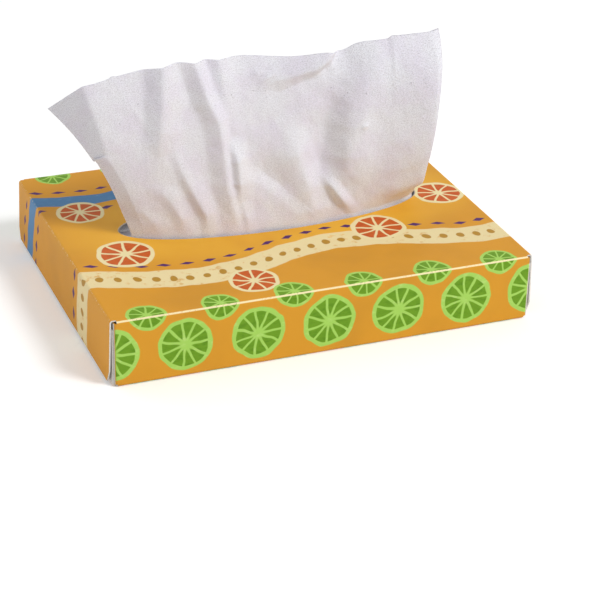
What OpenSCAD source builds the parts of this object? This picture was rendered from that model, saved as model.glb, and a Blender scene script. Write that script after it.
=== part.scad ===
// Small flat carton of facial tissues with one sheet drawn up through the oval opening.
// Origin: centre of the carton's underside. X runs along the carton, -Y is the front panel, +Z is up.

/* [Carton] */
// Length of the carton over its end folds
carton_l = 139; // [124:1:160]
// Depth of the carton from front panel to back panel
carton_w = 109; // [96:1:130]
// Height of the carton
carton_h = 22; // [18:0.5:40]
// Thickness of the folding board
board_t = 0.45; // [0.35:0.05:0.6]
// Outside radius of a creased fold
fold_r = 0.9; // [0.7:0.1:1.4]

/* [Glued ends] */
// Gap between an end flap's side edge and the front or back panel
flap_side_gap = 1.1; // [0.8:0.1:3]
// Gap between the outer flap's lower edge and the underside of the carton
outer_flap_lift = 1; // [0.6:0.1:4]
// Angle by which the outer flap springs away from the end
outer_flap_flare = 2; // [0:0.5:4]
// Height of the slanted cut at each lower corner of the outer flap
outer_flap_corner = 4; // [1:0.5:8]
// Gap between the inner flap's upper edge and the top panel
inner_flap_drop = 3; // [1.5:0.5:6]
// Length of a dust flap, folded in from the front or back panel
dust_flap_l = 30; // [15:1:40]
// Clearance of a dust flap from the top and bottom panels
dust_flap_gap = 0.4; // [0.2:0.1:1]
// Glue line between two flap layers
glue_gap = 0.06; // [0.04:0.01:0.1]
// Height of the glued seam strip inside the back panel
seam_h = 13; // [8:1:15]

/* [Opening and film] */
// Length of the torn-out oval opening
opening_l = 104; // [90:1:110]
// Width of the torn-out oval opening
opening_w = 30.6; // [26:0.2:40]
// Distance of the opening from the middle of the carton's length
opening_x = 2.5; // [-4:0.5:4]
// Distance of the opening from the middle of the carton's depth
opening_y = 4; // [-4:0.5:8]
// Thickness of the film
film_t = 0.08; // [0.05:0.01:0.12]
// Width of the film's glued margin round the opening
film_margin = 8; // [4:0.5:9]
// Distance from the end of the film's slit to the end of the opening
slit_end_gap = 0.5; // [0.4:0.1:4]
// Clearance between the film and the cut edge of the board
film_edge_gap = 0.3; // [0.2:0.05:0.4]
// Height that the raised sheet pushes the film's front lip up
front_lip_rise = 1.2; // [0.6:0.1:2]
// Height that the raised sheet pushes the film's back lip up
back_lip_rise = 3.2; // [1:0.2:4]

/* [Tissues] */
// Thickness of one loose two-ply sheet
tissue_t = 0.3; // [0.2:0.05:0.4]
// Clearance of the folded sheets from each end of the carton
pack_end_gap = 2; // [1:0.1:6]
// Clearance of the folded sheets from the front and back panels
pack_side_gap = 3.6; // [2:0.1:6]
// Free height above the pack, under the top panel
headroom = 3.6; // [3:0.1:6]
// Rounded fold edges on each long side of the pack
pack_folds = 12; // [6:1:20]
// Height of the raised sheet's cut edge above the top panel
raised_h = 56.4; // [40:0.2:70]
// How much higher the cut edge is at the right end than at the left
raised_tilt = 5.5; // [0:0.5:8]
// How far the raised sheet leans towards the left end
raised_lean = 9.8; // [0:0.2:12]
// Share of the sheet's width in the turned-back corner
corner_share = 0.12; // [0.06:0.01:0.16]
// How far the cut edge droops beside the turned-back corner
left_droop = 3.2; // [0:0.2:6]
// Depth of the dip in the cut edge
edge_dip = 1.4; // [0:0.2:6]
// How far the cut edge sags beside the dip
edge_sag = 2.2; // [0:0.2:4]
// How far the raised sheet's left edge bows in
left_bow = 4.2; // [0:0.2:6]
// How far the raised sheet's right edge bows in
right_bow = 1.6; // [0:0.2:3]
// How far the raised sheet's left edge bows to the front
left_forward = 1.5; // [0:0.5:4]
// How far the raised sheet's right edge bows to the front
right_forward = 11; // [0:0.5:13]

/* [Hidden] */
$fn = 48;
past = 1;

// End layers, from outside: outer flap, inner flap, dust flaps
layer_step = board_t + glue_gap;
inner_span = carton_l - 2 * layer_step;
dust_span = carton_l - 4 * layer_step;
sleeve_l = dust_span - 2 * fold_r;
flap_w = carton_w - 2 * flap_side_gap;
clear_l = dust_span - 2 * board_t;
clear_w = carton_w - 2 * board_t;

// One flat sheet is twice as long as the folded pack is deep
sheet_w = clear_l - 2 * pack_end_gap;
pack_w = clear_w - 2 * pack_side_gap;
sheet_l = 2 * pack_w;
pack_top = carton_h - board_t - headroom;

// Film and slit: the slit's two lips and the sheet between them bow towards the front edge of the opening,
// and the gaps are their distances from that edge at mid-length
film_z = carton_h - board_t - film_t / 2;
film_turns = 64;
slit_half_l = opening_l / 2 - slit_end_gap;
front_lip_gap = 0.35;
sheet_gap = 1.8;
back_lip_gap = 6.6;
lip_front = opening_w / 2 - front_lip_gap;
slit_mid = opening_w / 2 - sheet_gap;
lip_back = opening_w / 2 - back_lip_gap;
lip_rings = 4;

// Raised sheet: rows from its upper cut edge, through the slit, to the end tucked under the pack's top fold
columns = 48;
raised_rows = 20;
raised_foot = carton_h + 1;
foot_left_gap = 2.5;
foot_right_gap = 2.4;
foot_left = opening_x - slit_half_l + foot_left_gap;
foot_right = opening_x + slit_half_l - foot_right_gap;
leaf_seat = 0.05;
leaf_fold_r = 0.25;
leaf_low = pack_top + leaf_seat + tissue_t / 2;
leaf_high = leaf_low + 2 * leaf_fold_r;
leaf_bend_r = 2;
leaf_back = pack_w / 2 - leaf_fold_r - tissue_t / 2;
tucked_l = sheet_l - raised_h - (raised_foot - leaf_high) - leaf_back - slit_mid;
left_depth = 4;
right_depth = -3;
droop_width = 0.09;
dip_place = 0.73;
dip_width = 0.03;
sag_place = 0.63;
sag_width = 0.1;
corner_start = 0.46;
corner_way = unit([-9, 9, -9.8]);

// Soft folds of the raised sheet: place at the slit, place at the cut edge, width (shares of the sheet's width),
// height at the slit and height at the cut edge (positive folds stand towards the front)
soft_folds = [
    [0.04, 0.31, 0.045, 0.0, 3.6],
    [0.17, 0.02, 0.024, 0.8, 0.0],
    [0.24, 0.22, 0.028, 0.8, 0.6],
    [0.33, 0.40, 0.038, 0.6, 4.0],
    [0.40, 0.44, 0.020, -1.2, -1.0],
    [0.60, 0.52, 0.060, 0.8, 1.2],
    [0.76, 0.32, 0.026, 0.8, 0.0],
    [0.60, 0.75, 0.050, -0.6, -2.8],
    [0.68, 0.83, 0.060, -0.4, 2.6],
    [0.95, 0.95, 0.056, 0.0, 1.6],
];

function mix(a, b, t) = a + (b - a) * t;
function ease(t) = let (c = max(0, min(1, t))) c * c * (3 - 2 * c);
function unit(v) = v / norm(v);
function bump(distance, width) = exp(-pow(distance / width, 2));

// Sheet of even thickness over a grid of points: rows that are either open or closed into rings
module sheet_solid(rows, thickness, ring) {
    n = len(rows);
    m = len(rows[0]);
    function column(j) = ring ? (j + m) % m : max(0, min(m - 1, j));
    function point(i, j) = rows[max(0, min(n - 1, i))][column(j)];
    function normal(i, j) = unit(cross(point(i, j + 1) - point(i, j - 1), point(i + 1, j) - point(i - 1, j)));
    function id(side, i, j) = side * n * m + i * m + column(j);
    function quad(a, b, c, d) = [[a, b, c], [a, c, d]];
    last = ring ? m - 1 : m - 2;
    faces = [
        for (i = [0 : n - 2], j = [0 : last], face = concat(
            quad(id(0, i, j), id(0, i, j + 1), id(0, i + 1, j + 1), id(0, i + 1, j)),
            quad(id(1, i, j), id(1, i + 1, j), id(1, i + 1, j + 1), id(1, i, j + 1))
        )) face,
        for (j = [0 : last], face = concat(
            quad(id(0, 0, j + 1), id(0, 0, j), id(1, 0, j), id(1, 0, j + 1)),
            quad(id(0, n - 1, j), id(0, n - 1, j + 1), id(1, n - 1, j + 1), id(1, n - 1, j))
        )) face,
        if (!ring) for (i = [0 : n - 2], face = concat(
            quad(id(0, i, 0), id(0, i + 1, 0), id(1, i + 1, 0), id(1, i, 0)),
            quad(id(0, i + 1, m - 1), id(0, i, m - 1), id(1, i, m - 1), id(1, i + 1, m - 1))
        )) face,
    ];
    polyhedron(
        points = [for (side = [0.5, -0.5], i = [0 : n - 1], j = [0 : m - 1])
            point(i, j) - normal(i, j) * thickness * side],
        faces = faces
    );
}

module rounded_rectangle(w, h, r) {
    square([w - 2 * r, h], center = true);
    square([w, h - 2 * r], center = true);
    for (x = [-1, 1], y = [-1, 1])
        translate([x * (w / 2 - r), y * (h / 2 - r)]) circle(r);
}

// Section of a panel with a flap creased down at each end; the panel's outer face is on the X axis
module flapped_section(span, flap_l, flare) {
    translate([-span / 2 + fold_r, -board_t]) square([span - 2 * fold_r, board_t]);
    for (end = [0, 1])
        mirror([end, 0]) translate([span / 2 - fold_r, -fold_r]) {
            intersection() {
                difference() {
                    circle(fold_r);
                    circle(fold_r - board_t);
                }
                polygon([[0, 0], [0, 2 * fold_r], [2 * fold_r, 2 * fold_r], 2 * fold_r * [cos(flare), sin(flare)]]);
            }
            rotate(flare) translate([fold_r - board_t, -flap_l + fold_r]) square([board_t, flap_l - fold_r]);
        }
}

// Panel with its two flaps, outer face up
module flapped_panel(span, width, flap_l, flare = 0)
    rotate([90, 0, 0]) linear_extrude(width, center = true) flapped_section(span, flap_l, flare);

// Outline of the outer flap and the top panel, seen from the end
module outer_flap_outline() {
    corner_in = 0.6 * outer_flap_corner;
    polygon([
        [-flap_w / 2, carton_h],
        [-flap_w / 2, outer_flap_lift + outer_flap_corner],
        [-flap_w / 2 + corner_in, 0],
        [flap_w / 2 - corner_in, 0],
        [flap_w / 2, outer_flap_lift + outer_flap_corner],
        [flap_w / 2, carton_h],
    ]);
}

module opening_oval()
    polygon([for (a = [0 : 5 : 355]) [opening_x + opening_l / 2 * cos(a), opening_y + opening_w / 2 * sin(a)]]);

// Four panels, all end flaps and the seam strip of one folded and glued blank
module carton() color("goldenrod") difference() {
    union() {
        translate([0, 0, carton_h / 2]) rotate([90, 0, 90]) linear_extrude(sleeve_l, center = true)
            difference() {
                rounded_rectangle(carton_w, carton_h, fold_r);
                rounded_rectangle(clear_w, carton_h - 2 * board_t, fold_r - board_t);
            }
        intersection() {
            translate([0, 0, carton_h])
                flapped_panel(carton_l, flap_w, carton_h - outer_flap_lift, outer_flap_flare);
            rotate([90, 0, 90]) linear_extrude(2 * carton_l, center = true) outer_flap_outline();
        }
        mirror([0, 0, 1])
            flapped_panel(inner_span, flap_w, carton_h - inner_flap_drop);
        for (side = [-1, 1])
            translate([0, side * carton_w / 2, carton_h / 2]) rotate([-90 * side, 0, 0])
                flapped_panel(dust_span, carton_h - 2 * (board_t + dust_flap_gap), dust_flap_l);
        translate([-sleeve_l / 2, clear_w / 2 - board_t, board_t]) cube([sleeve_l, board_t, seam_h]);
    }
    translate([0, 0, carton_h / 2]) linear_extrude(carton_h / 2 + past) opening_oval();
}

// Rings of the film, from its glued outer edge to the lips of the slit
function film_ring(k) = [for (i = [0 : film_turns - 1])
    let (
        c = cos(360 * i / film_turns),
        s = sin(360 * i / film_turns),
        square_out = 1 / max(abs(c), abs(s)),
        outer = [(opening_l / 2 + film_margin) * c, (opening_w / 2 + film_margin) * s] * square_out,
        edge = [(opening_l / 2 - film_edge_gap) * c, (opening_w / 2 - film_edge_gap) * s],
        lip = [slit_half_l * c, -abs(s) * (s < 0 ? lip_front : lip_back)],
        inward = max(0, k - 1) / lip_rings,
        flat_place = k == 0 ? outer : mix(edge, lip, inward),
        rise = sqrt(abs(s)) * (s < 0 ? front_lip_rise * inward : back_lip_rise * pow(inward, 3))
    )
    [opening_x + flat_place[0], opening_y + flat_place[1], film_z + rise]];

// Clear dispensing film, glued under the top panel and slit along the opening
module slit_film() color("whitesmoke", 0.4)
    sheet_solid([for (k = [0 : lip_rings + 1]) film_ring(k)], film_t, true);

// All sheets still in the carton, interfolded into one block with rounded fold edges
module tissue_pack() color("white")
    translate([0, 0, board_t]) rotate([90, 0, 90]) linear_extrude(sheet_w, center = true) {
        pack_h = pack_top - board_t;
        fold_h = pack_h / pack_folds;
        edge_r = 0.6 * fold_h;
        intersection() {
            translate([-pack_w / 2, 0]) square([pack_w, pack_h]);
            union() {
                translate([-pack_w / 2 + edge_r, 0]) square([pack_w - 2 * edge_r, pack_h]);
                for (i = [0 : pack_folds - 1], side = [-1, 1])
                    translate([side * (pack_w / 2 - edge_r), (i + 0.5) * fold_h]) circle(edge_r);
            }
        }
    }

function foot_x(u) = mix(foot_left, foot_right, u);
function slit_arc(x) = sqrt(max(0, 1 - pow((x - opening_x) / slit_half_l, 2)));
function edge_height(u) =
    raised_h + raised_tilt * (u - 0.5)
    - left_droop * bump(u - corner_share, droop_width) - edge_dip * bump(u - dip_place, dip_width)
    - edge_sag * bump(u - sag_place, sag_width);
function edge_depth(u) = mix(left_depth, right_depth, ease((u - 0.5) / 0.35));
function fold_height(u, v) = let (heights = [for (f = soft_folds)
    (f[3] * pow(1 - v, 2) + f[4] * v * (2 - v)) * bump(u - mix(f[0], f[1], v), f[2])])
    heights * [for (f = soft_folds) 1];

// Bow of the two side edges along the carton and to the front
function side_bow(u, v) =
    [left_bow, -left_forward, 0] * sin(180 * v) * pow(1 - u, 3)
    - [right_bow, right_forward, 0] * (1 - pow(2 * v - 1, 4)) * pow(u, 3);

// Face of the raised sheet at share u of its width and share v of its height above the slit
function raised_face(u, v) =
    let (
        arc = slit_arc(foot_x(u)),
        foot_y = opening_y - slit_mid * arc,
        gathered = mix(arc, 1, ease(2 * v))
    )
    [
        mix(foot_x(u), sheet_w * (u - 0.5) - raised_lean, v),
        mix(foot_y, edge_depth(u), v) - fold_height(u, v) * gathered,
        mix(raised_foot, carton_h + edge_height(u), v),
    ] + side_bow(u, v);

// The same face with its upper left corner turned back along a crease
function raised_point(u, v) =
    let (
        turn = max(0, (v - corner_start) / (1 - corner_start)),
        crease = corner_share * (0.22 * ease(10 * turn) + 0.78 * turn)
    )
    u >= crease ? raised_face(u, v) : raised_face(crease, v) + (crease - u) * sheet_w * corner_way;

function pack_x(u) = sheet_w * (u - 0.5);
function foot_point(u) = raised_face(u, 0);
function straight_down(u, t) = foot_point(u) - [0, 0, t * (raised_foot - leaf_high - leaf_bend_r)];
function bend_back(u, a) =
    straight_down(u, 1) + leaf_bend_r * [0, 1 - cos(a), -sin(a)];
function lie_back(u, t) =
    let (start = bend_back(u, 90))
    [mix(start[0], pack_x(u), ease(t)), mix(start[1], leaf_back, t), leaf_high];
function fold_under(u, a) =
    [pack_x(u), leaf_back + leaf_fold_r * sin(a), leaf_high - leaf_fold_r * (1 - cos(a))];
function tuck_in(u, t) = [pack_x(u), leaf_back - t * tucked_l, leaf_low];

// One whole sheet: half of it drawn up through the slit, the rest lying folded on the pack
module raised_tissue() color("ghostwhite") {
    across = [for (j = [0 : columns]) j / columns];
    rows = concat(
        [for (i = [0 : raised_rows]) [for (u = across) raised_point(u, 1 - i / raised_rows)]],
        [[for (u = across) straight_down(u, 1)]],
        [for (a = [30, 60, 90]) [for (u = across) bend_back(u, a)]],
        [for (t = [0.2, 0.4, 0.7, 1]) [for (u = across) lie_back(u, t)]],
        [for (a = [45 : 45 : 180]) [for (u = across) fold_under(u, a)]],
        [for (t = [0.5, 1]) [for (u = across) tuck_in(u, t)]]
    );
    sheet_solid(rows, tissue_t, false);
}

carton();
slit_film();
tissue_pack();
raised_tissue();
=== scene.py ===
"""Looks of a small flat carton of facial tissues, with one sheet drawn up through its oval opening."""
import math

import bmesh
import bpy
import numpy as np
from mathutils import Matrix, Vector, noise


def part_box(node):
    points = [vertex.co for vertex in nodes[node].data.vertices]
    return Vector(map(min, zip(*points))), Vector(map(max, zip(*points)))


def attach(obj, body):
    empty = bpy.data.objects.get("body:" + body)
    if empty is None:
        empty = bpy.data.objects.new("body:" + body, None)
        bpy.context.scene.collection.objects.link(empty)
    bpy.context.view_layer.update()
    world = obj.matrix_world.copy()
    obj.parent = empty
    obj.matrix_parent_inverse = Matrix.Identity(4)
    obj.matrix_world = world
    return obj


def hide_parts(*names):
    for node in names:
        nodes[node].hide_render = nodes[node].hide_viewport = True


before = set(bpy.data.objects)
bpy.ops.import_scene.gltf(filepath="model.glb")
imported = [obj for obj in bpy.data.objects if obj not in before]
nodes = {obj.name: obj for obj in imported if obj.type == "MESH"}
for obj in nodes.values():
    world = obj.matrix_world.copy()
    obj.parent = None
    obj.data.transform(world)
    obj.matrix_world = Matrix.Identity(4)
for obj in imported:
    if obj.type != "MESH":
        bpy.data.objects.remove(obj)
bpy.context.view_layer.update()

# Carton, in metres, from the frame
MM = 0.001
carton_low, carton_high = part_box("carton")
CARTON_W = carton_high.y - carton_low.y
CARTON_H = carton_high.z
CARTON_L = 139 * MM
BOARD_T = 0.45 * MM

# Opening and film
OPENING_L = 104 * MM
OPENING_W = 30.6 * MM
OPENING_X = 2.5 * MM
OPENING_Y = 4 * MM
FILM_T = 0.08 * MM
FILM_MARGIN = 8 * MM
FILM_EDGE_GAP = 0.3 * MM
FILM_TURNS = 256
FILM_RINGS = 10
SLIT_HALF_L = OPENING_L / 2 - 0.5 * MM
FRONT_LIP_RISE = 0.02 * MM
BACK_LIP_RISE = 3.2 * MM
LIP_FRONT = OPENING_W / 2 - 0.35 * MM
LIP_BACK = OPENING_W / 2 - 6.6 * MM
FILM_LEVEL = CARTON_H - BOARD_T - FILM_T / 2
SLIT_MID = OPENING_W / 2 - 1.8 * MM
SLIT_PRESS = 1.15 * MM
NIB_PITCH = 1.2 * MM
NIB_LENGTH = 0.4 * MM
NIB_ROOT = 0.1 * MM
NIB_GAP = 0.06 * MM
NIB_SINK = 0.9 * BOARD_T
NIB_T = 0.85 * BOARD_T

# Sheets
pack_low, pack_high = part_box("tissue_pack")
SHEET_W = pack_high.x - pack_low.x
PACK_W = pack_high.y - pack_low.y
SHEET_L = 2 * PACK_W
PACK_TOP = pack_high.z
CAD_SHEET_T = 0.3 * MM
SHEET_T = 0.2 * MM

# Raised sheet, as shares of its width and height and in metres
RAISED_H = 55.8 * MM
RAISED_TILT = 6.5 * MM
RAISED_LEAN = 9.8 * MM
RAISED_FOOT = CARTON_H + 1 * MM
FOOT_LEFT = OPENING_X - SLIT_HALF_L + 2.5 * MM
FOOT_RIGHT = OPENING_X + SLIT_HALF_L - 2.4 * MM
CORNER_SHARE = 0.12
CORNER_START = 0.508
CORNER_STEP = 0.25
CORNER_HASTE = 10
CORNER_BULGE = 0.85
CORNER_CURL = 0.1
CORNER_ROUND = 0.006
CORNER_WAY = np.array((-9, 9, -9.8)) / np.linalg.norm((-9, 9, -9.8))
EDGE_NICK = 0.8 * MM
EDGE_NICK_PLACE = 0.866
EDGE_NICK_WIDTH = 0.012
LEFT_BOW = 4.2 * MM
RIGHT_BOW = -2.0 * MM
LEFT_FORWARD = 1.5 * MM
RIGHT_FORWARD = 11 * MM
RIGHT_POWER_LOW = 2.2
RIGHT_POWER_HIGH = 4.0
LEFT_DEPTH = 4 * MM
RIGHT_DEPTH = -3 * MM
DEPTH_TURN = 0.35
LEAF_FOLD_R = 0.25 * MM
LEAF_BEND_R = 2 * MM
LEAF_LOW = PACK_TOP + 0.05 * MM + CAD_SHEET_T / 2
LEAF_HIGH = LEAF_LOW + 2 * LEAF_FOLD_R
LEAF_BACK = PACK_W / 2 - LEAF_FOLD_R - CAD_SHEET_T / 2
SHEET_COLUMNS = 250
RAISED_ROWS = 130
HIDDEN_ROWS = 36

# Shares of the hidden rows that the drop, the bend, the run to the back, the fold and the tuck end at
HIDDEN_SHARES = (0, 0.25, 0.47, 0.66, 0.83, 1)

# Swells of the upper edge: height, and place and width as shares of the sheet's width
EDGE_SWELLS = (
    (-2.2 * MM, CORNER_SHARE, 0.09),
    (-2.2 * MM, 0.757, 0.03),
    (1.4 * MM, 0.34, 0.06),
    (-2.3 * MM, 0.63, 0.1),
    (0.5 * MM, 0.192, 0.008),
)

# Folds of the raised sheet, from end to end: points (x, height above the top panel, height of the fold),
# then the fold's width on its left or lower side and on its right or upper side, all in mm
FOLDS = (
    (((-35, 57, 4.2), (-36, 45, 4.4), (-37, 36, 3.4), (-38, 27, 1.2), (-39, 18, 0.1)), 5.2, 8.5),
    (((-25.2, 57, 4.4), (-21.6, 44, 4.4), (-18.6, 37, 4.0), (-17.6, 27, 3.2), (-16.8, 17, 3.0),
      (-14.8, 6, 2.2), (-13.5, -2, 1.1)), 5.0, 4.0),
    (((-16.5, 57, 2.4), (-16, 49, 2.0), (-15.5, 36, 0.8), (-15, 28, 0.1)), 3.8, 6.0),
    (((-13.8, 31, 0.3), (-13.2, 24, 3.8), (-12.8, 17, 3.4), (-11.9, 10, 0.3)), 2.0, 5.0),
    (((-33, 29, 0.2), (-30, 20, 1.7), (-27, 13.5, 2.1), (-24, 7.5, 2.0), (-22.4, -2, 1.0)), 2.4, 5.0),
    (((-41, 18.5, 0.2), (-35, 13, 1.1), (-31.6, 6.3, 1.3), (-29, -2, 1.0)), 3.0, 4.0),
    (((-44.6, 11, 0.1), (-40, 5, 0.8), (-37.4, -2, 0.8)), 2.2, 3.2),
    (((2, 36, 0.3), (7, 24, 2.8), (10, 12, 3.2), (11.5, 5, 2.0), (12, -1, 0.9)), 11.0, 7.0),
    (((-8.5, 23, -0.3), (-4, 19, -1.8), (2, 14, -2.0), (8, 8, -0.8)), 4.0, 9.0),
    (((-11.6, 12, 0.1), (-10.6, 5, 1.3), (-9.3, -2, 0.9)), 1.8, 3.2),
    (((37, 54, 0.6), (29, 45, 1.6), (25, 39.5, 2.6), (23, 32.5, 3.0), (22.7, 22.5, 2.8),
      (22.8, 16.5, 1.2), (23, 11.6, 0.1)), 6.0, 11.0),
    (((25, 46, -0.4), (20.4, 39, -2.8), (17.8, 31, -4.0), (15.4, 20, -3.6),
      (14.4, 12, -1.4), (14, 5, -0.1)), 10.0, 7.5),
    (((15.2, 16.6, 0.2), (18.8, 11.5, 2.4), (22.2, 6.5, 2.5), (26, 2, 1.4), (29.5, -2, 0.9)), 2.0, 3.2),
    (((34.5, -1, 0.3), (42, 5, 1.6), (51, 8, 2.0), (56, 9, 1.6)), 2.4, 8.0),
    (((52.5, 58, 2.8), (51.5, 43, 3.2), (51.5, 26, 2.8), (51.5, 14, 1.8)), 15.0, 5.0),
    (((-5, 46.8, 0.3), (3, 48, 2.0), (8, 49.4, 2.8), (14, 51.4, 3.4),
      (18, 54, 3.6), (21.5, 58, 3.6)), 3.8, 9.0),
    (((8, 46, -0.3), (14, 48, -1.2), (18, 50.4, -2.0), (23, 55, -2.2), (26, 58, -2.2)), 9.0, 2.6),
    (((-6.3, 48.5, 0.1), (-4, 49.8, 0.8), (-2, 51, 0.1)), 1.2, 2.0),
    (((-3.6, 47, 0.1), (-1, 48.6, 0.9), (2, 50, 0.1)), 1.2, 2.0),
    (((27.8, 33.5, 0.1), (28.3, 32.4, 0.7), (28.6, 31, 0.1)), 1.2, 2.0),
)
RIDGE_ROUND = 0.14
FOOT_ROUND = 0.16
SEGMENT_SOFT = 0.5
SEGMENT_POWER = -6.0
FOLD_PRESS = 1.2 * MM
FOLD_START = 0.14
LEAST_PRESS = 0.35
EDGE_CURL = 2.6 * MM
EDGE_CURL_SHARE = 0.04
EDGE_CURL_START = 0.15
EDGE_CURL_END = 0.62
EDGE_CURL_FADE = 0.2
CRUMPLE = 0.22 * MM
CRUMPLE_ACROSS = 6 * MM
CRUMPLE_UP = 9 * MM
CRUMPLE_START = 0.08
CRUMPLE_PLANE = 0.3
CRUMPLE_FALL = 0.8
CRUMPLE_STEP = 2.1
CRUMPLE_OCTAVES = 4

# Print, in mm: red slices as x, y and radius, green rows as shift, depth below the fold, radius and cells
GLOW_REACH_X = 66
GLOW_REACH_Y = 30
DOT_PITCH = 5.4
LOZENGE_PITCH = 7.2
RED_CELLS = 9
RED_SLICES = ((-52, -12, 9.5), (-20, -42, 8.0), (31, -19.5, 9.0), (61, -1, 8.5), (-57, 22, 8.0))
GREEN_PITCH = 23.2
GREEN_SLICES = ((0.0, 11.2, 8.7, 11), (11.6, -1.5, 6.2, 9))

# Camera and light
CAMERA_EYE = (-0.2104, -0.5470, 0.2954)
CAMERA_TURN = (62.575, -1.341, -21.456)
CAMERA_LENS = 118.56
FLOOR_LIFT = 0.2
FAR_LIFT = 0.6
SKY_LIGHT = 0.5
FLOOR_HALF = 4
FLOOR_GAP = 0.1 * MM
LAMP_AIM = (0, 0, 0.03)
KEY_PLACE = (0.70, -0.86, 1.18)
KEY_SIZE = 0.5
KEY_POWER = 13.6
FILL_PLACE = (-0.95, 1.0, 0.4)
FILL_SIZE = 0.9
FILL_POWER = 4

# Inks and papers, as sRGB values from 0 to 255
GOLD = (222, 156, 47)
GOLD_LIGHT = (240, 182, 58)
GOLD_DULL = (200, 141, 46)
LIME = (170, 215, 98)
LIME_PALE = (190, 224, 124)
LEAF_GREEN = (112, 158, 38)
LEAF_DEEP = (94, 142, 30)
PLUM = (84, 44, 102)
BLUE = (66, 132, 182)
BLUE_PALE = (104, 160, 200)
BRICK = (206, 98, 38)
BRICK_DEEP = (190, 80, 30)
CREAM = (240, 224, 172)
OCHRE = (184, 138, 50)
RAW_BOARD = (228, 224, 218)
RAW_FIBRE = (178, 170, 158)
TORN_BOARD = (232, 222, 204)
# Pale cream of the fold crests: cracked ink, and also a painted highlight on the rounded folds
CRACKED_INK_AND_HIGHLIGHT = (250, 234, 184)
TISSUE_WHITE = (241, 241, 247)
TISSUE_LILAC = (236, 231, 243)
TISSUE_SHADE = (214, 211, 215)
TISSUE_GRAIN = (189, 185, 192)
TISSUE_PRICK = (150, 144, 150)
PACK_LINE = (196, 190, 192)
PACK_FIBRE = (214, 209, 210)
FILM_GREY = (226, 226, 229)
FILM_WHITE = (248, 248, 250)
FLOOR_WHITE = (252, 252, 252)
FLOOR_CLOUD = (250, 250, 250)


def linear(rgb):
    """Linear colour with alpha for an sRGB colour of 0 to 255."""
    shares = [c / 255 for c in rgb]
    return (*[c / 12.92 if c <= 0.04045 else ((c + 0.055) / 1.055) ** 2.4 for c in shares], 1.0)


class Field:
    """A number that varies over a surface: a socket in a material's tree, on which sums add Math nodes."""

    def __init__(self, tree, socket):
        self.tree = tree
        self.socket = socket

    def work(self, operation, *values):
        """A Math node on this field and further values."""
        node = self.tree.nodes.new("ShaderNodeMath")
        node.operation = operation
        for entry, value in zip(node.inputs, (self, *values)):
            if isinstance(value, Field):
                self.tree.links.new(value.socket, entry)
            else:
                entry.default_value = value
        return Field(self.tree, node.outputs[0])

    def __add__(self, other):
        return self.work("ADD", other)

    def __sub__(self, other):
        return self.work("SUBTRACT", other)

    def __mul__(self, other):
        return self.work("MULTIPLY", other)

    def __truediv__(self, other):
        return self.work("DIVIDE", other)

    def __abs__(self):
        return self.work("ABSOLUTE")

    def rest(self):
        """One minus the field."""
        return self.work("MULTIPLY_ADD", -1.0, 1.0)

    def step(self, low, high):
        """0 at low and before it, 1 at high and past it, smooth between."""
        node = self.tree.nodes.new("ShaderNodeMapRange")
        node.interpolation_type = "SMOOTHSTEP"
        self.tree.links.new(self.socket, node.inputs["Value"])
        node.inputs["From Min"].default_value = low
        node.inputs["From Max"].default_value = high
        return Field(self.tree, node.outputs["Result"])

    def under(self, limit, soft=0.12):
        """1 where the field is under the limit."""
        return self.step(limit + soft, limit - soft)

    def over(self, limit, soft=0.12):
        """1 where the field is over the limit."""
        return self.step(limit - soft, limit + soft)


class Finish:
    """A new material with one Principled shader."""

    def __init__(self, name):
        self.material = bpy.data.materials.new(name)
        self.material.use_nodes = True
        self.tree = self.material.node_tree
        self.shader = self.tree.nodes["Principled BSDF"]

    def axes(self, node_type, output):
        """The three parts of a vector output, as fields."""
        source = self.tree.nodes.new(node_type)
        split = self.tree.nodes.new("ShaderNodeSeparateXYZ")
        self.tree.links.new(source.outputs[output], split.inputs[0])
        return [Field(self.tree, part) for part in split.outputs]

    def vector(self, x, y, z):
        """A vector socket from three fields or numbers."""
        node = self.tree.nodes.new("ShaderNodeCombineXYZ")
        for entry, value in zip(node.inputs, (x, y, z)):
            if isinstance(value, Field):
                self.tree.links.new(value.socket, entry)
            else:
                entry.default_value = value
        return node.outputs[0]

    def noise(self, vector, scale, detail=2.0, roughness=0.5):
        """Cloudy noise from 0 to 1."""
        node = self.tree.nodes.new("ShaderNodeTexNoise")
        self.tree.links.new(vector, node.inputs["Vector"])
        node.inputs["Scale"].default_value = scale
        node.inputs["Detail"].default_value = detail
        node.inputs["Roughness"].default_value = roughness
        return Field(self.tree, node.outputs["Fac"])

    def specks(self, vector, scale):
        """Distance from the nearest of many scattered points, and a number of its own for each point."""
        node = self.tree.nodes.new("ShaderNodeTexVoronoi")
        self.tree.links.new(vector, node.inputs["Vector"])
        node.inputs["Scale"].default_value = scale
        split = self.tree.nodes.new("ShaderNodeSeparateColor")
        self.tree.links.new(node.outputs["Color"], split.inputs[0])
        return Field(self.tree, node.outputs["Distance"]), Field(self.tree, split.outputs[0])

    def layer(self, under, colour, cover):
        """One colour laid over another where cover is 1. Both may be colour sockets or sRGB colours."""
        node = self.tree.nodes.new("ShaderNodeMix")
        node.data_type = "RGBA"
        self.tree.links.new(cover.socket, node.inputs["Factor"])
        for entry, value in ((node.inputs[6], under), (node.inputs[7], colour)):
            if isinstance(value, tuple):
                entry.default_value = linear(value)
            else:
                self.tree.links.new(value, entry)
        return node.outputs[2]

    def link(self, value, entry):
        """Leads a field or a socket into the shader."""
        socket = value.socket if isinstance(value, Field) else value
        self.tree.links.new(socket, self.shader.inputs[entry])

    def bump(self, height, distance):
        """Lets a height field tilt the shading, for detail finer than the mesh."""
        node = self.tree.nodes.new("ShaderNodeBump")
        node.inputs["Strength"].default_value = 1.0
        node.inputs["Distance"].default_value = distance
        self.tree.links.new(height.socket, node.inputs["Height"])
        self.tree.links.new(node.outputs["Normal"], self.shader.inputs["Normal"])


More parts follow.
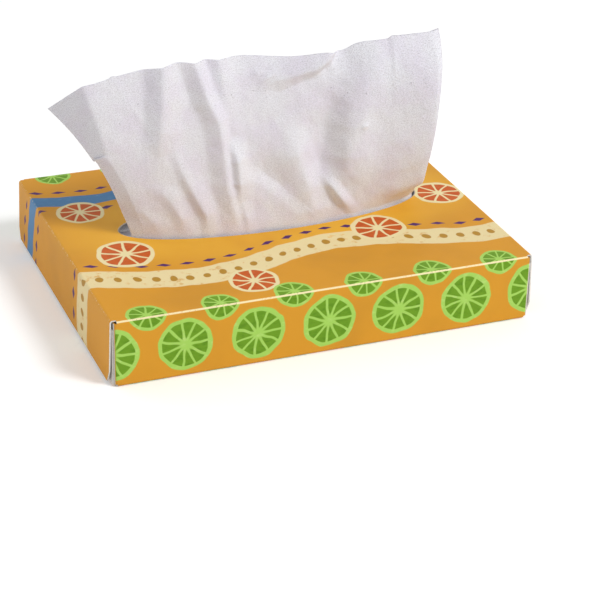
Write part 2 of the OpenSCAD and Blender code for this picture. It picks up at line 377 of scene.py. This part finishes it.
def fruit_wheel(x, y, radius, cells):
    """A round slice: its disc, and the wedge cells in it between thin walls."""
    reach = (x * x + y * y).work("SQRT")
    angle = y.work("ARCTAN2", x)
    from_wall = abs((angle * (cells / 2)).work("SINE")) * reach * (2 / cells)
    disc = reach.under(radius)
    cell = from_wall.over(0.045 * radius) * reach.under(0.84 * radius) * reach.over(0.14 * radius)
    return disc, cell


def wrapped(field, pitch):
    """The field folded into repeats of one pitch, centred on 0."""
    return field.work("WRAP", pitch / 2, -pitch / 2)


def ribbon(x, y, middle, swing, wave, turn):
    """Distance from a wavy line along x."""
    crest = (x * (2 * math.pi / wave) + turn).work("SINE") * swing
    return y - crest - middle


def printed_board():
    """Satin coated board: an orange print of slices and ribbons outside, raw board inside and at cuts."""
    finish = Finish("printed_board")
    x, y, z = [part * (1 / MM) for part in finish.axes("ShaderNodeTexCoord", "Object")]
    facing_x, facing_y, facing_z = finish.axes("ShaderNodeNewGeometry", "Normal")
    half_l, half_w, height = CARTON_L / MM / 2, CARTON_W / MM / 2, CARTON_H / MM
    grain_place = finish.vector(x, y, z)

    # The printed side of the blank
    on_top = facing_z.over(0.5, 0.01) * z.over(height - 1, 0.01)
    on_side = abs(facing_y).over(0.5, 0.01) * abs(y).over(half_w - 0.95, 0.01)
    outward = x * facing_x
    on_end = outward.over(0, 0.01) * abs(facing_x).over(0.5, 0.01) * abs(x).over(half_l - 0.35, 0.01)
    on_base = facing_z.under(-0.5, 0.01) * z.under(1, 0.01)
    printed = on_top.work("MAXIMUM", on_side).work("MAXIMUM", on_end).work("MAXIMUM", on_base)

    # Flat coordinates of the blank: the walls laid out round the top panel, with a slightly unsteady hand
    drop = z.work("MULTIPLY_ADD", -1.0, height)
    end_wall = abs(facing_x).over(0.71, 0.01)
    side_wall = abs(facing_y).over(0.71, 0.01)
    sway = finish.noise(grain_place, 0.11) - 0.5
    sway_too = finish.noise(grain_place, 0.13, 1.0) - 0.5
    across = x + x.work("SIGN") * drop * end_wall + sway * 2.4
    along = y + y.work("SIGN") * drop * side_wall + sway_too * 2.4

    # Ground, lighter round the opening
    wash = finish.noise(grain_place, 0.035, 3.0)
    oval_x = ((across - OPENING_X / MM) / GLOW_REACH_X).work("POWER", 2.0)
    oval_y = ((along - OPENING_Y / MM) / GLOW_REACH_Y).work("POWER", 2.0)
    glow = (oval_x + oval_y).step(1.5, 0.4)
    ground = finish.layer(GOLD, GOLD_DULL, wash.step(0.42, 0.75) * 0.55)
    ground = finish.layer(ground, GOLD_LIGHT, glow * wash.step(0.2, 0.6) * 0.9)

    # Cream ribbon with ochre dots, and a blue ribbon behind the opening
    dry_brush = finish.noise(grain_place, 0.3, 4.0, 0.65)
    brush = finish.noise(finish.vector(x * 0.5, y, z), 0.8, 3.0, 0.6)
    cream_line = ribbon(across, along, -29, 5.0, 96, 0.6)
    cream_cover = abs(cream_line).under(5.6, 0.25) * dry_brush.step(0.2, 0.45)
    dot_x = wrapped(across, DOT_PITCH).work("POWER", 2.0)
    dot_y = (cream_line * 0.8).work("POWER", 2.0)
    dots = (dot_x + dot_y).work("SQRT")
    blue_line = ribbon(across, along, 35, 4.0, 84, 2.2)
    ground = finish.layer(ground, CREAM, cream_cover * 0.92)
    ground = finish.layer(ground, OCHRE, dots.under(1.25))
    ground = finish.layer(ground, BLUE, abs(blue_line).under(3.6, 0.2) * 0.95)
    ground = finish.layer(ground, BLUE_PALE, abs(blue_line).under(3.6, 0.2) * brush.step(0.55, 0.8) * 0.7)

    # Plum lozenges in rows that follow the ribbons
    for line, offset, shift in ((cream_line, 9.4, 0.0), (blue_line, 7.6, 2.0), (blue_line, -7.6, 4.5)):
        lozenge = abs(wrapped(across + shift, LOZENGE_PITCH)) / 2.4 + abs(line - offset) / 1.05
        ground = finish.layer(ground, PLUM, lozenge.under(1.0, 0.1))

    # Red slices on the top panel
    for place_x, place_y, radius in RED_SLICES:
        disc, cell = fruit_wheel(across - place_x, along - place_y, radius, RED_CELLS)
        ground = finish.layer(ground, CREAM, disc)
        ground = finish.layer(ground, BRICK, cell)
        ground = finish.layer(ground, BRICK_DEEP, cell * brush.step(0.42, 0.7) * 0.8)

    # Green slices along the front and back walls and over their upper folds
    below_fold = abs(along) - half_w
    off_ends = end_wall.rest()
    for shift, depth, radius, cells in GREEN_SLICES:
        disc, cell = fruit_wheel(wrapped(across + shift, GREEN_PITCH), below_fold - depth, radius, cells)
        disc = disc * off_ends
        cell = cell * off_ends
        ground = finish.layer(ground, LIME, disc)
        ground = finish.layer(ground, LIME_PALE, disc * brush.step(0.5, 0.8))
        ground = finish.layer(ground, LEAF_GREEN, cell)
        ground = finish.layer(ground, LEAF_DEEP, cell * brush.step(0.42, 0.7) * 0.8)

    # Pale cream along the fold crests: partly ink that cracked along the folds, partly a painted highlight
    # on their rounded crests
    speckle = finish.noise(grain_place, 1.6, 3.0, 0.7)
    side_crest = (abs(y).work("MULTIPLY_ADD", -1.0, half_w) + drop).under(0.6, 0.05)
    end_crest = (abs(x).work("MULTIPLY_ADD", -1.0, half_l) + drop).under(0.58, 0.05)
    ground = finish.layer(ground, CRACKED_INK_AND_HIGHLIGHT, side_crest * speckle.step(0.25, 0.45))
    ground = finish.layer(ground, CRACKED_INK_AND_HIGHLIGHT, end_crest * speckle.step(0.5, 0.7) * 0.7)
    fibres = finish.noise(finish.vector(x * 0.5, y, z), 6.0, 3.0)
    raw = finish.layer(RAW_BOARD, RAW_FIBRE, fibres.step(0.45, 0.8) * 0.6)
    finish.link(finish.layer(raw, ground, printed), "Base Color")

    # Coating: satin, a little uneven, over the board's faint tooth
    tooth = finish.noise(grain_place, 3.0, 4.0, 0.6)
    coated = printed * (tooth * 0.12 - 0.4) + 0.86
    finish.link(coated, "Roughness")
    finish.shader.inputs["Specular IOR Level"].default_value = 0.14
    finish.bump(tooth + fibres * printed.rest(), 0.03 * MM)
    return finish.material


def tissue_paper():
    """Soft creped two-ply tissue with a fine grain, and a strip of bonding pricks near the cut edge."""
    finish = Finish("tissue_paper")
    across, length, _ = [part * (1 / MM) for part in finish.axes("ShaderNodeTexCoord", "UV")]
    place = finish.vector(across, length, 0.0)
    crepe = finish.noise(finish.vector(across * 0.55, length * 1.2, 0.0), 2.2, 3.0, 0.6)
    fibres = finish.noise(place, 1.5, 5.0, 0.75)
    grain = finish.noise(place, 3.4, 2.0, 0.8)
    cloud = finish.noise(place, 0.1, 2.0)
    from_prick, prick_kind = finish.specks(place, 0.75)
    in_strip = length.over(9.5, 3) * length.under(15, 3)
    prick = from_prick.under(0.13, 0.06) * prick_kind.over(0.55, 0.02) * in_strip
    colour = finish.layer(TISSUE_WHITE, TISSUE_LILAC, cloud.step(0.35, 0.7))
    colour = finish.layer(colour, TISSUE_SHADE, fibres.step(0.42, 0.72) * 0.6)
    colour = finish.layer(colour, TISSUE_GRAIN, grain.step(0.46, 0.66) * 0.8)
    colour = finish.layer(colour, TISSUE_PRICK, prick * 0.6)
    finish.link(colour, "Base Color")
    finish.shader.inputs["Roughness"].default_value = 0.95
    finish.shader.inputs["Specular IOR Level"].default_value = 0.15
    finish.shader.inputs["Sheen Weight"].default_value = 0.1
    finish.shader.inputs["Sheen Roughness"].default_value = 0.6
    finish.shader.inputs["Subsurface Weight"].default_value = 0.3
    finish.shader.inputs["Subsurface Radius"].default_value = (1.0, 0.96, 0.92)
    finish.shader.inputs["Subsurface Scale"].default_value = 0.5 * MM
    finish.bump(crepe + fibres * 0.8 + grain * 0.4 - prick * 1.5, 0.16 * MM)
    return finish.material


def stacked_paper():
    """Edges and top of the folded sheets: fine layers one above another."""
    finish = Finish("stacked_paper")
    x, y, z = [part * (1 / MM) for part in finish.axes("ShaderNodeTexCoord", "Object")]
    place = finish.vector(x, y, z)
    layers = finish.noise(finish.vector(x * 0.05, y * 0.05, z), 7.0, 3.0)
    fibres = finish.noise(place, 1.5, 4.0, 0.7)
    colour = finish.layer(TISSUE_WHITE, PACK_LINE, layers.step(0.5, 0.75) * 0.6)
    colour = finish.layer(colour, PACK_FIBRE, fibres.step(0.5, 0.8) * 0.5)
    finish.link(colour, "Base Color")
    finish.shader.inputs["Roughness"].default_value = 0.95
    finish.shader.inputs["Specular IOR Level"].default_value = 0.15
    finish.bump(layers + fibres * 0.5, 0.1 * MM)
    return finish.material


def clear_film():
    """Thin clear plastic: mostly see-through, with a gloss that grows at the edges and a faint haze."""
    finish = Finish("clear_film")
    x, y, z = [part * (1 / MM) for part in finish.axes("ShaderNodeTexCoord", "Object")]
    crinkle = finish.noise(finish.vector(x, y * 0.3, z * 0.3), 0.45, 3.0, 0.6)
    edge = finish.tree.nodes.new("ShaderNodeLayerWeight")
    edge.inputs["Blend"].default_value = 0.35
    seen = Field(finish.tree, edge.outputs["Facing"]).work("POWER", 3.0) * 0.5 + 0.05
    finish.link(seen + crinkle.step(0.55, 0.72) * 0.12, "Alpha")
    finish.link(finish.layer(FILM_GREY, FILM_WHITE, crinkle.step(0.4, 0.7)), "Base Color")
    finish.shader.inputs["Roughness"].default_value = 0.1
    finish.shader.inputs["Specular IOR Level"].default_value = 0.8
    finish.bump(crinkle, 0.5 * MM)
    return finish.material


def torn_board():
    """Fuzzy raw board of the torn perforation, with a trace of the print."""
    finish = Finish("torn_board")
    x, y, z = [part * (1 / MM) for part in finish.axes("ShaderNodeTexCoord", "Object")]
    fibres = finish.noise(finish.vector(x, y, z), 2.2, 4.0, 0.7)
    colour = finish.layer(TORN_BOARD, GOLD, fibres.step(0.5, 0.7))
    finish.link(colour, "Base Color")
    finish.shader.inputs["Roughness"].default_value = 0.9
    finish.bump(fibres, 0.1 * MM)
    return finish.material


def seen_ray(tree):
    """1 for what the camera sees, straight or in a mirror or through glass, and 0 for light on its way."""
    ray = tree.nodes.new("ShaderNodeLightPath")
    straight, mirrored, through = [
        Field(tree, ray.outputs[kind]) for kind in ("Is Camera Ray", "Is Glossy Ray", "Is Transmission Ray")
    ]
    return straight.work("MAXIMUM", mirrored).work("MAXIMUM", through)


def pale_floor():
    """White floor that keeps the shadow: the camera sees it a little brighter than the light makes it."""
    finish = Finish("pale_floor")
    x, y, z = finish.axes("ShaderNodeTexCoord", "Object")
    cloud = finish.noise(finish.vector(x, y, z), 3.0, 2.0)
    finish.link(finish.layer(FLOOR_WHITE, FLOOR_CLOUD, cloud.step(0.3, 0.7)), "Base Color")
    finish.shader.inputs["Roughness"].default_value = 1.0
    finish.shader.inputs["Specular IOR Level"].default_value = 0.0
    far = (x * x + y * y).work("SQRT").step(0.3, 1.6)
    finish.shader.inputs["Emission Color"].default_value = (1, 1, 1, 1)
    finish.link(seen_ray(finish.tree) * (far * FAR_LIFT + FLOOR_LIFT), "Emission Strength")
    return finish.material


def add_piece(name, bm, material, slot=None):
    """A finished mesh as an object, which rides on the part if it has a slot."""
    mesh = bpy.data.meshes.new(name)
    bm.to_mesh(mesh)
    bm.free()
    mesh.materials.append(material)
    piece = bpy.data.objects.new(name, mesh)
    bpy.context.scene.collection.objects.link(piece)
    if slot:
        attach(piece, "root")
    return piece


def mix(a, b, t):
    """a where t is 0 and b where t is 1, straight between."""
    return a + (b - a) * t


def ease(t):
    """0 to 1 with t, with a soft start and a soft end."""
    c = np.clip(t, 0, 1)
    return c * c * (3 - 2 * c)


def swell(distance, width):
    """A soft bump, 1 in the middle and near 0 past twice the width."""
    return np.exp(-((distance / width) ** 2))


def raised_face(u, v):
    """Face of the raised sheet at shares u of its width and v of its height above the slit."""
    foot_x = mix(FOOT_LEFT, FOOT_RIGHT, u)
    arc = np.sqrt(np.clip(1 - ((foot_x - OPENING_X) / SLIT_HALF_L) ** 2, 0, None))
    edge_height = RAISED_H + RAISED_TILT * (u - 0.5)
    edge_height = edge_height + EDGE_NICK * ease((u - EDGE_NICK_PLACE) / EDGE_NICK_WIDTH)
    for height, place, width in EDGE_SWELLS:
        edge_height = edge_height + height * swell(u - place, width)
    edge_depth = mix(LEFT_DEPTH, RIGHT_DEPTH, ease((u - 0.5) / DEPTH_TURN))
    left_side = np.sin(math.pi * v) * (1 - u) ** 3
    right_side = (1 - np.abs(2 * v - 1) ** mix(RIGHT_POWER_LOW, RIGHT_POWER_HIGH, v)) * u ** 3
    x = mix(foot_x, SHEET_W * (u - 0.5) - RAISED_LEAN, v) + LEFT_BOW * left_side + RIGHT_BOW * right_side
    y = mix(OPENING_Y - SLIT_MID * arc, edge_depth, v)
    y = y - LEFT_FORWARD * left_side - RIGHT_FORWARD * right_side
    z = mix(RAISED_FOOT, CARTON_H + edge_height, v)
    return np.stack((x, y, z), axis=-1)


def flank(distance):
    """Height of a fold's side, from 1 at the ridge to 0 at a distance of 1, with both ends rounded."""
    slope = 1 - np.sqrt(distance ** 2 + RIDGE_ROUND ** 2)
    return (slope + np.sqrt(slope ** 2 + FOOT_ROUND ** 2)) / 2


def fold_height(x, up, points, left, right):
    """How far one fold stands out towards the front, at places x and up on the raised face (mm)."""
    height = np.zeros_like(x)
    weights = np.zeros_like(x)
    for (x0, up0, h0), (x1, up1, h1) in zip(points, points[1:]):
        run_x, run_up = x1 - x0, up1 - up0
        run = math.hypot(run_x, run_up)
        share = np.clip(((x - x0) * run_x + (up - up0) * run_up) / run ** 2, 0, 1)
        away = np.hypot(x - x0 - share * run_x, up - up0 - share * run_up)
        side = run_x * (up - up0) - run_up * (x - x0)
        width = np.where(side > 0, right, left)
        weight = (away + SEGMENT_SOFT) ** SEGMENT_POWER
        height += weight * mix(h0, h1, share) * flank(away / width)
        weights += weight
    return height / weights


def fold_relief(points, u, v):
    """How far folds, fine crumples and the curled left edge move the raised face to the front."""
    x, up = points[:, 0] / MM, (points[:, 2] - CARTON_H) / MM
    folds = sum(fold_height(x, up, *fold) for fold in FOLDS) * MM
    arc = np.sqrt(np.clip(1 - ((points[:, 0] - OPENING_X) / SLIT_HALF_L) ** 2, 0.04, None))
    low = SLIT_PRESS * arc ** 2 * mix(LEAST_PRESS, 1, np.tanh(folds / FOLD_PRESS))
    folds = mix(low, folds, ease(v / FOLD_START))
    curl = EDGE_CURL * np.clip(1 - u / EDGE_CURL_SHARE, 0, 1)
    curl = curl * ease(v / EDGE_CURL_START) * ease((EDGE_CURL_END - v) / EDGE_CURL_FADE)
    places = [Vector((at_x / CRUMPLE_ACROSS, CRUMPLE_PLANE, at_z / CRUMPLE_UP)) for at_x, _, at_z in points]
    crumple = np.array([
        noise.fractal(place, CRUMPLE_FALL, CRUMPLE_STEP, CRUMPLE_OCTAVES) for place in places
    ])
    return folds - curl + CRUMPLE * crumple * ease(v / CRUMPLE_START)


def raised_points(u, v):
    """The raised face with its folds, and with its upper left corner turned back along a crease."""
    turn = np.clip((v - CORNER_START) / (1 - CORNER_START), 0, None)
    begun = ease(CORNER_HASTE * turn)
    crease = CORNER_SHARE * mix(turn ** CORNER_BULGE, begun, CORNER_STEP)
    bend = CORNER_ROUND * begun
    past_crease = (crease - u + np.sqrt((crease - u) ** 2 + bend ** 2)) / 2
    points = raised_face(u + past_crease, v)
    points[:, 1] -= fold_relief(points, u, v)
    flap = past_crease * (1 - CORNER_CURL * np.sin(math.pi * turn)) * SHEET_W
    return points + flap[:, None] * CORNER_WAY


def hidden_points(u, t):
    """The rest of the sheet: down through the slit, back over the pack and folded under."""
    foot = raised_points(u, np.zeros_like(u))
    flat_x = SHEET_W * (u - 0.5)
    drop = RAISED_FOOT - LEAF_HIGH - LEAF_BEND_R
    bend_l = math.pi / 2 * LEAF_BEND_R
    back_l = LEAF_BACK - OPENING_Y + SLIT_MID - LEAF_BEND_R
    fold_l = math.pi * LEAF_FOLD_R
    tuck_l = SHEET_L - RAISED_H - (RAISED_FOOT - LEAF_HIGH) - LEAF_BACK - SLIT_MID
    lengths = np.cumsum((0, drop, bend_l, back_l, fold_l, tuck_l))
    run = np.interp(t, HIDDEN_SHARES, lengths)
    down = np.clip(run, 0, drop)
    bend = np.clip(run - drop, 0, bend_l) / LEAF_BEND_R
    back = np.clip(run - drop - bend_l, 0, back_l) / back_l
    under = np.clip(run - drop - bend_l - back_l, 0, fold_l) / LEAF_FOLD_R
    tuck = np.clip(run - drop - bend_l - back_l - fold_l, 0, tuck_l)
    bent_y = foot[:, 1] + LEAF_BEND_R * (1 - np.cos(bend))
    x = mix(foot[:, 0], flat_x, ease(back))
    y = mix(bent_y, LEAF_BACK, back) + LEAF_FOLD_R * np.sin(under) - tuck
    z = foot[:, 2] - down - LEAF_BEND_R * np.sin(bend) - LEAF_FOLD_R * (1 - np.cos(under))
    return np.stack((x, y, z), axis=-1), run


def make_raised_tissue(material):
    """One whole sheet: half of it drawn up through the slit, the rest lying folded on the pack."""
    rows = RAISED_ROWS + HIDDEN_ROWS
    bm = bmesh.new()
    bmesh.ops.create_grid(bm, x_segments=SHEET_COLUMNS, y_segments=rows, size=0.5)
    grid = np.array([vertex.co for vertex in bm.verts])
    u = grid[:, 0] + 0.5
    row = (0.5 - grid[:, 1]) * rows
    raised = row <= RAISED_ROWS + 1e-4
    v = np.clip(1 - row / RAISED_ROWS, 0, 1)
    hidden, run = hidden_points(u, np.clip((row - RAISED_ROWS) / HIDDEN_ROWS, 0, 1))
    points = np.where(raised[:, None], raised_points(u, v), hidden)
    length = np.where(raised, (1 - v) * RAISED_H, RAISED_H + run)
    for vertex, point in zip(bm.verts, points):
        vertex.co = point
    flat = bm.loops.layers.uv.new("flat_sheet")
    for face in bm.faces:
        face.smooth = True
        for loop in face.loops:
            i = loop.vert.index
            loop[flat].uv = (u[i] * SHEET_W, length[i])
    piece = add_piece("drawn_tissue", bm, material, "tissue_paper")
    thick = piece.modifiers.new("ply_thickness", "SOLIDIFY")
    thick.thickness = SHEET_T
    thick.offset = 0
    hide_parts("raised_tissue")
    return piece


def film_ring(share):
    """One ring of the film, from the rim of the opening (share 0) to the lips of the slit (share 1)."""
    angle = np.arange(FILM_TURNS) * 2 * math.pi / FILM_TURNS
    c, s = np.cos(angle), np.sin(angle)
    edge_x = (OPENING_L / 2 - FILM_EDGE_GAP) * c
    edge_y = (OPENING_W / 2 - FILM_EDGE_GAP) * s
    lip_y = -np.abs(s) * np.where(s < 0, LIP_FRONT, LIP_BACK)
    rise = np.sqrt(np.abs(s)) * np.where(s < 0, FRONT_LIP_RISE * share, BACK_LIP_RISE * share ** 3)
    x = OPENING_X + mix(edge_x, SLIT_HALF_L * c, share)
    y = OPENING_Y + mix(edge_y, lip_y, share)
    z = FILM_LEVEL + rise
    return np.stack((x, y, z), axis=-1)


def make_film(material):
    """Clear film glued under the top panel, with the back lip of its slit standing up behind the sheet."""
    bm = bmesh.new()
    bmesh.ops.create_circle(bm, segments=FILM_TURNS, radius=1)
    reach_x, reach_y = OPENING_L / 2 + FILM_MARGIN, OPENING_W / 2 + FILM_MARGIN
    bm.verts.ensure_lookup_table()
    for i, vertex in enumerate(bm.verts):
        angle = 2 * math.pi * i / FILM_TURNS
        c, s = math.cos(angle), math.sin(angle)
        out = 1 / max(abs(c), abs(s))
        vertex.co = (OPENING_X + reach_x * c * out, OPENING_Y + reach_y * s * out, FILM_LEVEL)
    ring = list(bm.verts)
    for k in range(FILM_RINGS + 1):
        members = set(ring)
        loop = [edge for edge in bm.edges if members.issuperset(edge.verts)]
        made = bmesh.ops.extrude_edge_only(bm, edges=loop)
        fresh = {item for item in made["geom"] if isinstance(item, bmesh.types.BMVert)}
        onward = []
        for vertex in ring:
            ends = [edge.other_vert(vertex) for edge in vertex.link_edges]
            onward.append(next(end for end in ends if end in fresh))
        for vertex, place in zip(onward, film_ring(k / FILM_RINGS)):
            vertex.co = place
        ring = onward
    bmesh.ops.recalc_face_normals(bm, faces=bm.faces)
    for face in bm.faces:
        face.smooth = True
    piece = add_piece("dispensing_film", bm, material, "clear_film")
    thick = piece.modifiers.new("film_thickness", "SOLIDIFY")
    thick.thickness = FILM_T
    thick.offset = 0
    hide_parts("slit_film")
    return piece


def make_torn_rim(material):
    """Ring of small nibs left round the opening where its perforation was torn."""
    around = math.pi * (1.5 * (OPENING_L + OPENING_W) / 2 - math.sqrt(OPENING_L * OPENING_W) / 2)
    nibs = round(around / NIB_PITCH)
    bm = bmesh.new()
    bmesh.ops.create_circle(bm, segments=4 * nibs, radius=1)
    outer = list(bm.verts)
    made = bmesh.ops.extrude_edge_only(bm, edges=list(bm.edges))
    inner = [item for item in made["geom"] if isinstance(item, bmesh.types.BMVert)]
    for vertex in outer:
        vertex.co = rim_place(vertex.co, NIB_ROOT)
    for vertex in inner:
        quarter = round(math.atan2(vertex.co.y, vertex.co.x) / (2 * math.pi) * 4 * nibs) % 4
        torn = 0.6 + 0.8 * abs(noise.noise(vertex.co * 90))
        length = NIB_LENGTH * torn if quarter in (0, 1) else NIB_GAP
        vertex.co = rim_place(vertex.co, -length)
    bmesh.ops.recalc_face_normals(bm, faces=bm.faces)
    bmesh.ops.translate(bm, vec=(0, 0, CARTON_H - NIB_SINK), verts=bm.verts)
    walls = bmesh.ops.extrude_face_region(bm, geom=list(bm.faces))
    upper = [item for item in walls["geom"] if isinstance(item, bmesh.types.BMVert)]
    bmesh.ops.translate(bm, vec=(0, 0, NIB_T), verts=upper)
    bmesh.ops.recalc_face_normals(bm, faces=bm.faces)
    return add_piece("torn_rim", bm, material, "printed_board")


def rim_place(direction, out):
    """A point on the opening's rim in that direction, moved outwards."""
    return Vector((
        OPENING_X + (OPENING_L / 2 + out) * direction.x,
        OPENING_Y + (OPENING_W / 2 + out) * direction.y,
        0,
    ))


def dress(node, material):
    """Gives a CAD node a new finish in all its slots."""
    for slot in nodes[node].material_slots:
        slot.material = material


def make_stage():
    """Wide pale floor just under the part."""
    bm = bmesh.new()
    bmesh.ops.create_grid(bm, x_segments=1, y_segments=1, size=FLOOR_HALF)
    bmesh.ops.translate(bm, vec=(0, 0, -FLOOR_GAP), verts=bm.verts)
    floor = add_piece("floor", bm, pale_floor())


def add_lamp(name, place, size, power):
    """A soft round lamp that points at the part."""
    data = bpy.data.lights.new(name, "AREA")
    data.shape = "DISK"
    data.size = size
    data.energy = power
    lamp = bpy.data.objects.new(name, data)
    lamp.location = place
    lamp.rotation_euler = (Vector(LAMP_AIM) - Vector(place)).to_track_quat("-Z", "Y").to_euler()
    bpy.context.scene.collection.objects.link(lamp)


def light_scene():
    """White surroundings, a key lamp from the front right and a weak fill from the left rear."""
    world = bpy.data.worlds.new("studio")
    world.use_nodes = True
    sky = world.node_tree.nodes["Background"]
    sky.inputs["Color"].default_value = (1, 1, 1, 1)
    strength = seen_ray(world.node_tree) * (1 - SKY_LIGHT) + SKY_LIGHT
    world.node_tree.links.new(strength.socket, sky.inputs["Strength"])
    bpy.context.scene.world = world
    add_lamp("key_lamp", KEY_PLACE, KEY_SIZE, KEY_POWER)
    add_lamp("rear_fill", FILL_PLACE, FILL_SIZE, FILL_POWER)
    bpy.context.scene.view_settings.view_transform = "Standard"


def add_camera():
    """Camera at the photo's angle."""
    data = bpy.data.cameras.new("camera")
    data.lens = CAMERA_LENS
    camera = bpy.data.objects.new("camera", data)
    camera.location = CAMERA_EYE
    camera.rotation_euler = [math.radians(angle) for angle in CAMERA_TURN]
    bpy.context.scene.collection.objects.link(camera)
    bpy.context.scene.camera = camera


add_camera()
light_scene()
make_stage()
dress("carton", printed_board())
dress("tissue_pack", stacked_paper())
make_raised_tissue(tissue_paper())
make_film(clear_film())
make_torn_rim(torn_board())
